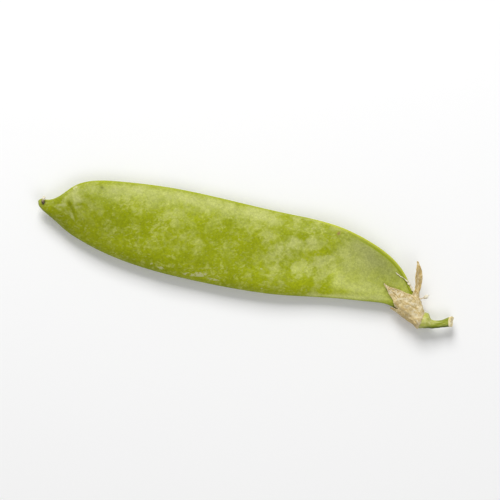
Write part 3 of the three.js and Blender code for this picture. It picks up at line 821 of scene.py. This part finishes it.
def stalk_piece(skin):
    """The stalk: ovals along its rungs with low lengthwise ridges, a swollen foot and a
    flared end, cut aslant and closed by a torn, fibrous face. The face is a stack of
    rings, raised by noise of the turn where the skin stands up round it."""
    shares = np.linspace(0, 1, STALK_STATIONS)
    turn = np.linspace(0, 2 * np.pi, STALK_COLUMNS + 1)
    rung = spline(STALK_RUNGS, shares)[:, None, :]
    ridges = sum(rise * np.cos(count * turn + phase) for rise, count, phase in STALK_RIDGES)
    rings = ovals(rung, turn, 1 + ridges * ease(*RIDGES_FROM, shares)[:, None])[:, :-1]
    middle = middle_and_reach(rung)[0][:, 0]
    ahead = np.append(middle[-1] - middle[-CUT_ROWS], 0)
    ahead /= np.linalg.norm(ahead)
    slope = CUT_SLOPE * ease(*SLOPE_FROM, shares)[:, None] * (rings[..., 2] - rung[..., 5])
    rings = rings - ahead * slope[..., None]

    centre = rings[-1].mean(0)
    out = rings[-1] - centre
    torn = ripple(np.stack([np.cos(turn), np.sin(turn)], -1)[:-1], *TORN_EDGE)
    torn = np.clip(TORN_LEVEL + torn, *TORN_LIMITS)
    cap = [centre + out * reach + ahead * (depth + rough * torn)[:, None] for reach, depth, rough in CUT_FACE]
    rings = np.concatenate([rings, cap])
    rings = raised(rings, ripple(rings * STALK_GRAIN, *STALK_NOISE), wrapped=True)
    chart = paired(turn / (2 * np.pi), walked(middle)[:, None] / CHART_UNIT)
    chart = np.concatenate([chart, np.repeat(chart[-1:], len(cap), axis=0) + [0, CAP_CHART]])

    x, y, _ = np.moveaxis(rings, -1, 0)
    edge_x, edge_y, slope = FOOT_EDGE
    foot = ease(*FOOT_SOFT, y - edge_y - slope * (x - edge_x))
    below = y.mean(1, keepdims=True) - y
    below /= np.abs(below).max(1, keepdims=True)
    near_foot = 1 - ease(*FOOT_END, x)
    start, end = (share + more * near_foot for share, more in SHADE_BELOW)
    shade = ease(start, end, below) + 0.5 * ease(*SHADE_ABOVE, -below)
    marks = {
        "cut": np.append(ease(*CUT_FROM, shares), np.ones(len(cap)))[:, None],
        "foot": foot,
        "shade": shade * (1 - foot * 0.5),
    }
    tube_piece("stalk", rings, chart, marks, skin, "green_stalk", ["pedicel"])


def thread_piece(name, knots, stands_for, skin, lumps, dark_to, pale_from):
    """A dried thread: a thin round section along a bent midline, with a lumpy radius. It is
    dark up to the first range of shares and whitish after the second."""
    shares = np.linspace(0, 1, THREAD_STATIONS)
    rings, chart = swept(knots, shares)
    rough = lumps * sum(ripple(rings, *noise) for noise in THREAD_LUMPS)
    marks = {"dark": 1 - ease(*dark_to, shares)[:, None], "pale": ease(*pale_from, shares)[:, None]}
    tube_piece(name, raised(rings, rough, wrapped=True), chart, marks, skin, "dried_threads", [stands_for])


def sheath_piece(skin):
    """A shred of the dried stamen tube: a narrow strip between two edge splines, crowned
    along its middle, whose width wavers with noise of the way along it."""
    shares = np.linspace(0, 1, SHEATH_STATIONS)[:, None]
    ladder = spline(from_seams(SHEATH, 1), shares[:, 0])
    across = np.linspace(-1, 1, SHEATH_COLUMNS)
    grid = between_edges(ladder, across * (1 + ripple(shares, *SHEATH_WAVER)[:, None]))
    grid = raised(grid, ladder[:, 6:] * (1 - across**2))
    grid = raised(grid, ripple(grid, *SHEATH_NOISE))
    faces = quads(numbered(*grid.shape[:2]))
    corners = paired(shares, across).reshape(-1, 2)[faces]
    points = settle(grid.reshape(-1, 3))
    marks = {"dark": np.zeros(len(points)), "pale": np.full(len(points), SHEATH_PALE)}
    finish = (skin, "dried_threads", ["stamen_sheath"], SHRED)
    make_piece("stamen_sheath_shred", points, faces.tolist(), corners, marks, *finish)


# ---- Finishes ----


def colour(red, green, blue):
    """A linear colour from the three numbers, 0 to 255, that a screen shows."""
    share = np.array([red, green, blue]) / 255
    linear = np.where(share <= 0.04045, share / 12.92, ((share + 0.055) / 1.055) ** 2.4)
    return (*linear, 1.0)


def fill(tree, node, inputs):
    """Sets inputs of a node to values, or links them."""
    for name, value in inputs.items():
        if isinstance(value, bpy.types.NodeSocket):
            tree.links.new(value, node.inputs[name])
        else:
            node.inputs[name].default_value = value
    return node


def put(tree, kind, inputs=None, **settings):
    """A new node, with its settings made and its inputs set or linked."""
    made = tree.nodes.new(kind)
    for name, value in settings.items():
        setattr(made, name, value)
    return fill(tree, made, inputs or {})


def maths(tree, operation, first, second):
    """The result of one sum."""
    return put(tree, "ShaderNodeMath", {0: first, 1: second}, operation=operation).outputs[0]


def times(tree, first, second):
    """One number times another."""
    return maths(tree, "MULTIPLY", first, second)


def plus(tree, first, second):
    """One number plus another."""
    return maths(tree, "ADD", first, second)


def spread(tree, value, low, high, to_low=0.0, to_high=1.0):
    """A value smoothly spread from one range to another, and held inside it."""
    ends = {"Value": value, "From Min": low, "From Max": high, "To Min": to_low, "To Max": to_high}
    return put(tree, "ShaderNodeMapRange", ends, interpolation_type="SMOOTHSTEP").outputs["Result"]


def blended(tree, share, under, over, way="MIX"):
    """Two colours mixed: the share of the second over the first."""
    inputs = {0: share, 6: under, 7: over}
    return put(tree, "ShaderNodeMix", inputs, data_type="RGBA", blend_type=way).outputs[2]


def painted(tree, under, *layers):
    """A colour with others painted over it one by one. A layer is a mask, the strength
    with which it covers, and its colour in three numbers from 0 to 255."""
    for mask, strength, over in layers:
        share = mask if strength == 1 else times(tree, mask, strength)
        under = blended(tree, share, under, colour(*over))
    return under


def scaled(tree, tint, factor):
    """A colour made darker or lighter by a factor."""
    return put(tree, "ShaderNodeVectorMath", {0: tint, 3: factor}, operation="SCALE").outputs[0]


def noise(tree, place, scale, detail, roughness, distortion=0.0):
    """Soft noise between 0 and 1."""
    inputs = {"Vector": place, "Scale": scale, "Detail": detail, "Roughness": roughness}
    return put(tree, "ShaderNodeTexNoise", {**inputs, "Distortion": distortion}).outputs[0]


def marked(tree, name):
    """A number that the mesh carries at each vertex."""
    return put(tree, "ShaderNodeAttribute", attribute_name=name).outputs["Fac"]


def bumped(tree, *layers):
    """The normal that layers of bumps leave, one on another. A layer is its height and how
    far it stands out in millimetres."""
    inputs = {"Strength": 1.0}
    for height, distance in layers:
        inputs.update({"Height": height, "Distance": distance * MM})
        inputs["Normal"] = put(tree, "ShaderNodeBump", inputs).outputs[0]
    return inputs["Normal"]


def mottle(group, given):
    """Cloudy blotches with edges as crisp as the gap between Low and High makes them."""
    cloud = noise(group, given["Vector"], given["Scale"], 4, 0.6, given["Wander"])
    return {"Mask": spread(group, cloud, given["Low"], given["High"])}


def pin_dots(group, given):
    """Small round dots: cells whose own random number is over a limit get a dot in them."""
    cells = put(group, "ShaderNodeTexVoronoi", {"Vector": given["Vector"], "Scale": given["Scale"]}).outputs
    dot = spread(group, cells["Distance"], given["Radius"], times(group, given["Radius"], 0.4))
    own = put(group, "ShaderNodeSeparateColor", {"Color": cells["Color"]}).outputs[0]
    return {"Mask": times(group, dot, maths(group, "GREATER_THAN", own, given["Limit"]))}


def fibres(group, given):
    """Fine lines along the second axis of a chart: noise stretched that way, once coarse
    and once fine, as a mask and as a height."""
    stretch = put(group, "ShaderNodeCombineXYZ", {"X": 1, "Y": given["Stretch"], "Z": 1}).outputs[0]
    inputs = {0: given["Vector"], 1: stretch}
    long_way = put(group, "ShaderNodeVectorMath", inputs, operation="MULTIPLY").outputs[0]
    coarse = noise(group, long_way, given["Scale"], 2, 0.5, 0.4)
    fine = noise(group, long_way, times(group, given["Scale"], 2.7), 2, 0.6, 0.2)
    both = plus(group, times(group, coarse, 0.6), times(group, fine, 0.4))
    return {"Mask": spread(group, both, 0.4, 0.62), "Height": both}


def shared(inside, **inputs):
    """A node group with the name of the function that works out its outputs, and with a
    Vector and named numbers as its inputs."""
    group = bpy.data.node_groups.new(inside.__name__, "ShaderNodeTree")
    group.interface.new_socket("Vector", in_out="INPUT", socket_type="NodeSocketVector")
    for socket, value in inputs.items():
        made = group.interface.new_socket(socket, in_out="INPUT", socket_type="NodeSocketFloat")
        made.default_value = value
    results = inside(group, group.nodes.new("NodeGroupInput").outputs)
    for socket in results:
        group.interface.new_socket(socket, in_out="OUTPUT", socket_type="NodeSocketFloat")
    fill(group, group.nodes.new("NodeGroupOutput"), results)
    return group


MOTTLE = shared(mottle, Scale=500, Low=0.4, High=0.6, Wander=0.3)
PIN_DOTS = shared(pin_dots, Scale=400, Radius=0.2, Limit=0.7)
FIBRES = shared(fibres, Scale=20, Stretch=0.12)


def effect(tree, group, place, **inputs):
    """The mask of a shared effect, placed in a material with its own values."""
    return put(tree, "ShaderNodeGroup", {"Vector": place, **inputs}, node_tree=group).outputs["Mask"]


def fibres_along(tree, scale, stretch):
    """The mask and the height of fibres that run along the piece's own UV map."""
    chart = put(tree, "ShaderNodeUVMap", uv_map="chart").outputs[0]
    inputs = {"Vector": chart, "Scale": scale, "Stretch": stretch}
    return put(tree, "ShaderNodeGroup", inputs, node_tree=FIBRES).outputs.values()


def finished(finish):
    """A material with the name of the function that works out the inputs of its shader
    from Object places."""
    material = bpy.data.materials.new(finish.__name__)
    material.use_nodes = True
    tree = material.node_tree
    place = put(tree, "ShaderNodeTexCoord").outputs["Object"]
    fill(tree, tree.nodes["Principled BSDF"], finish(tree, place))
    return material


def pod_skin(tree, place):
    """Fresh pod: saturated green under a pale waxy bloom that is rubbed into clouds and
    blotches, with pale feathery flecks, pin dots, a bright rib that is partly a painted
    highlight, a groove and dry scars, all made darker or lighter by painted light and shade."""
    turned = {"Vector": place, "Rotation": (0, 0, math.radians(30)), "Scale": (1.5, 1, 1)}
    slant = put(tree, "ShaderNodeMapping", turned, vector_type="TEXTURE").outputs[0]
    clouds = effect(tree, MOTTLE, place, Scale=130, Low=0.34, High=0.66, Wander=0.3)
    blotches = effect(tree, MOTTLE, place, Scale=380, Low=0.38, High=0.62, Wander=0.2)
    crisp = effect(tree, MOTTLE, place, Scale=270, Low=0.46, High=0.54, Wander=0.25)
    clusters = effect(tree, MOTTLE, place, Scale=260, Low=0.4, High=0.58, Wander=0.3)
    feathers = effect(tree, MOTTLE, slant, Scale=1150, Low=0.48, High=0.62, Wander=0.6)
    streaks = effect(tree, MOTTLE, slant, Scale=1000, Low=0.44, High=0.52, Wander=0.5)
    dark_pins = effect(tree, PIN_DOTS, place, Scale=300, Radius=0.09, Limit=0.8)
    pores = effect(tree, PIN_DOTS, slant, Scale=1500, Radius=0.3, Limit=0.35)
    cells = noise(tree, slant, 5200, 2, 0.6)
    grain = noise(tree, place, 1700, 3, 0.7)

    rubbed = marked(tree, "rubbed")
    cloud = plus(tree, times(tree, clouds, 0.3), times(tree, blotches, 0.44))
    wear = times(tree, plus(tree, cloud, -0.4), rubbed)
    patches = times(tree, plus(tree, crisp, -0.5), marked(tree, "patchy"))
    worn = plus(tree, wear, times(tree, patches, 0.3))
    veil = spread(tree, plus(tree, marked(tree, "bloom"), worn), 0.1, 1.2)
    flecks = times(tree, times(tree, feathers, clusters), rubbed)
    waxy = [(clouds, 1, (150, 160, 10)), (veil, 1, (180, 185, 106)), (flecks, 0.55, (182, 187, 98))]
    skin = painted(tree, colour(138, 149, 2), *waxy)
    # painted light and shade: the skin's colour scaled darker or lighter where light would fall
    skin = scaled(tree, skin, marked(tree, "painted_light_and_shade"))
    skin = scaled(tree, skin, spread(tree, grain, 0.3, 0.7, 0.87, 1.13))
    skin = scaled(tree, skin, spread(tree, cells, 0.3, 0.7, 0.93, 1.07))
    torn = times(tree, marked(tree, "scar"), spread(tree, streaks, 0, 1, 0.3, 1))
    skin = painted(
        tree,
        skin,
        (pores, 0.2, (196, 200, 128)),
        (plus(tree, times(tree, dark_pins, 0.3), marked(tree, "dots")), 0.85, (114, 122, 0)),
        (spread(tree, torn, 0.25, 0.5, 0, 0.8), 1, (200, 200, 148)),
        (marked(tree, "groove"), 1, (136, 149, 2)),
        # the rib's bright yellow-green is partly a painted highlight on its crest
        (marked(tree, "rib"), 0.9, (190, 196, 48)),
        (marked(tree, "rim"), 0.65, (142, 156, 8)),
        (marked(tree, "fleck"), 1, (140, 92, 66)),
    )
    soft = noise(tree, slant, 420, 3, 0.6, 0.5)
    return {
        "Base Color": skin,
        "Roughness": spread(tree, veil, 0, 1, 0.42, 0.58),
        "Specular IOR Level": 0.16,
        "Normal": bumped(tree, (soft, 0.07), (grain, 0.03), (cells, 0.012)),
    }


def calyx_paper(tree, place):
    """Dry calyx: pale tan paper with lengthwise fibres, crossed by a fine crepe of pale
    flecks, darker in the creases, with small brown specks, and made darker or lighter by
    painted light and shade on the side seen from above."""
    veins, vein_height = fibres_along(tree, 30, 0.34)
    crepe = effect(tree, MOTTLE, place, Scale=1900, Low=0.44, High=0.56, Wander=1)
    paper = painted(
        tree,
        colour(190, 163, 100),
        (veins, 1, (222, 201, 148)),
        (crepe, 0.6, (233, 217, 171)),
        (effect(tree, MOTTLE, place, Scale=900, Low=0.5, High=0.6, Wander=0.8), 0.65, (242, 231, 200)),
        (effect(tree, MOTTLE, place, Scale=420, Low=0.5, High=0.7, Wander=0.5), 0.35, (186, 156, 92)),
        (effect(tree, PIN_DOTS, place, Scale=900, Radius=0.22, Limit=0.8), 0.42, (140, 108, 66)),
    )
    golden = times(tree, marked(tree, "golden"), 0.6)
    paper = blended(tree, golden, paper, colour(255, 240, 196), "MULTIPLY")
    return {
        # painted light and shade: the paper's colour scaled darker or lighter
        "Base Color": scaled(tree, paper, marked(tree, "painted_light_and_shade")),
        "Roughness": spread(tree, crepe, 0, 1, 0.75, 0.9),
        "Specular IOR Level": 0.3,
        "Normal": bumped(tree, (vein_height, 0.22), (noise(tree, place, 2100, 3, 0.65, 0.6), 0.09)),
    }


def stalk_skin(tree, place):
    """Green stalk: lengthwise stripes of light and dark green, with painted shade below and
    along the upper edge, a yellower, paler foot and a creamy, fibrous cut face."""
    stripes, stripe_height = fibres_along(tree, 7, 0.25)
    blotch = effect(tree, MOTTLE, place, Scale=900, Low=0.4, High=0.65, Wander=0.4)
    specks = effect(tree, PIN_DOTS, place, Scale=1500, Radius=0.3, Limit=0.5)
    shade, cut = marked(tree, "shade"), marked(tree, "cut")
    green = painted(tree, colour(138, 148, 36), (stripes, 1, (190, 194, 108)), (shade, 1, (88, 102, 2)))
    pale = painted(tree, colour(180, 185, 86), (blotch, 1, (204, 203, 132)), (shade, 0.9, (140, 150, 30)))
    cream = painted(tree, colour(224, 206, 150), (blotch, 1, (250, 242, 208)), (specks, 1, (172, 138, 84)))
    skin = blended(tree, marked(tree, "foot"), green, pale)
    return {
        "Base Color": blended(tree, cut, skin, cream),
        "Roughness": spread(tree, cut, 0, 1, 0.46, 0.85),
        "Specular IOR Level": 0.14,
        "Normal": bumped(tree, (stripe_height, 0.2), (noise(tree, place, 1800, 2, 0.6), 0.06)),
    }


def dry_thread(tree, place):
    """Dried threads: pale straw with fine fibres, purple-black where a thread is dark."""
    veins, _ = fibres_along(tree, 7, 0.3)
    blotch = effect(tree, MOTTLE, place, Scale=1800, Low=0.4, High=0.6, Wander=0.4)
    straw = painted(tree, colour(192, 172, 130), (veins, 1, (226, 216, 186)), (blotch, 0.3, (170, 142, 102)))
    straw = painted(tree, straw, (marked(tree, "pale"), 0.85, (234, 228, 206)))
    burnt = painted(tree, colour(66, 52, 40), (blotch, 1, (112, 92, 72)))
    return {
        "Base Color": blended(tree, marked(tree, "dark"), straw, burnt),
        "Roughness": spread(tree, blotch, 0, 1, 0.7, 0.88),
        "Normal": bumped(tree, (noise(tree, place, 2400, 2, 0.6), 0.08)),
    }


def pale_floor(tree, place):
    """A plain pale floor with the faintest grain, a little whiter to the camera."""
    grain = noise(tree, place, 60, 3, 0.5)
    pale = blended(tree, grain, (0.78, 0.78, 0.78, 1), (0.82, 0.82, 0.82, 1))
    seen = put(tree, "ShaderNodeLightPath").outputs["Is Camera Ray"]
    return {"Base Color": blended(tree, seen, pale, (0.94, 0.94, 0.94, 1)), "Roughness": 0.8}


# ---- Onto the frame ----

bare = settle(pod_rings(np.linspace(0, 1, BARE_STATIONS), np.linspace(-np.pi, np.pi, BARE_COLUMNS)))
CHART_SHIFT = np.array([*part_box("pod")[0][:2], 0]) / MM - np.array([*bare.min((0, 1))[:2], 0])


def lay_down(points):
    """Chart places in millimetres as places in the frame, in metres."""
    return (np.asarray(points) + CHART_SHIFT) * MM


pod_piece(finished(pod_skin))
calyx_piece(finished(calyx_paper))
stalk_piece(finished(stalk_skin))
thread_skin = finished(dry_thread)
horn = {"lumps": 0.04, "dark_to": (0.3, 0.55), "pale_from": (0.5, 0.7)}
thread_piece("style_horn", STYLE, "style_remnant", thread_skin, **horn)
stamen = {"lumps": 0.03, "dark_to": (-2, -1), "pale_from": (0.4, 0.6)}
thread_piece("stamen", STAMEN, "stamen_thread", thread_skin, **stamen)
sheath_piece(thread_skin)

# ---- Studio ----

VIEW_TURN = math.radians(18.257)  # how far the pod is turned from level in the view
VIEW_UP = Vector((-math.sin(VIEW_TURN), math.cos(VIEW_TURN), 0))
VIEW_RIGHT = Vector((math.cos(VIEW_TURN), math.sin(VIEW_TURN), 0))
MIDDLE = Vector([(low + high) / 2 for low, high in zip(cad_low, cad_high)])
CAMERA_TILT = math.radians(4)  # how far the camera leans towards the top of the view
CAMERA_AWAY = 0.7
VIEW_WIDTH = 0.119  # of the square view, at the middle of the object
SENSOR = 36.0
# Square soft lamps: the way to each (right, up and high in the view), how far away it is,
# its size and its power.
LAMPS = {"key": ((-0.15, 1, 0.9), 0.7, 0.32, 4.05), "fill": ((0.4, -0.5, 1), 0.8, 0.5, 1.2)}
SKY = 0.36  # strength of the light from all round
FLOOR_HALF = 0.75  # half the side of the floor


def aimed(thing, right, up, high, away):
    """Puts a lamp or the camera so far away on the way from the middle of the object,
    looking back at it, with its own Y towards the top of the view."""
    back = (VIEW_RIGHT * right + VIEW_UP * up + Vector((0, 0, high))).normalized()
    side = VIEW_UP.cross(back).normalized()
    turned = Matrix((side, back.cross(side), back)).transposed().to_4x4()
    thing.matrix_world = Matrix.Translation(MIDDLE + back * away) @ turned


def camera_over():
    """The camera above the pod, leaning a little towards the top of the view."""
    data = bpy.data.cameras.new("camera")
    data.sensor_width = SENSOR
    data.lens = SENSOR * CAMERA_AWAY / VIEW_WIDTH
    camera = placed("camera", data)
    aimed(camera, 0, math.sin(CAMERA_TILT), math.cos(CAMERA_TILT), CAMERA_AWAY)
    bpy.context.scene.camera = camera


def soft_lamps():
    """The lamps of the studio, all aimed at the pod."""
    for name, (way, away, size, power) in LAMPS.items():
        data = bpy.data.lights.new(name, "AREA")
        data.size = size
        data.energy = power
        aimed(placed(name, data), *way, away)


def make_floor():
    """A flat square of floor under the object."""
    corners = [(x * FLOOR_HALF, y * FLOOR_HALF, 0) for x, y in ((-1, -1), (1, -1), (1, 1), (-1, 1))]
    mesh = bpy.data.meshes.new("floor")
    mesh.from_pydata(corners, [], [(0, 1, 2, 3)])
    mesh.materials.append(finished(pale_floor))
    floor = placed("floor", mesh)


def pale_world():
    """Even pale light from all round, which the camera sees as white."""
    world = bpy.data.worlds.new("studio")
    world.use_nodes = True
    tree = world.node_tree
    seen = put(tree, "ShaderNodeLightPath").outputs["Is Camera Ray"]
    strength = plus(tree, times(tree, seen, 1 - SKY), SKY)
    fill(tree, tree.nodes["Background"], {"Color": (1, 1, 1, 1), "Strength": strength})
    bpy.context.scene.world = world


bpy.context.scene.view_settings.view_transform = "Standard"
camera_over()
soft_lamps()
pale_world()
make_floor()
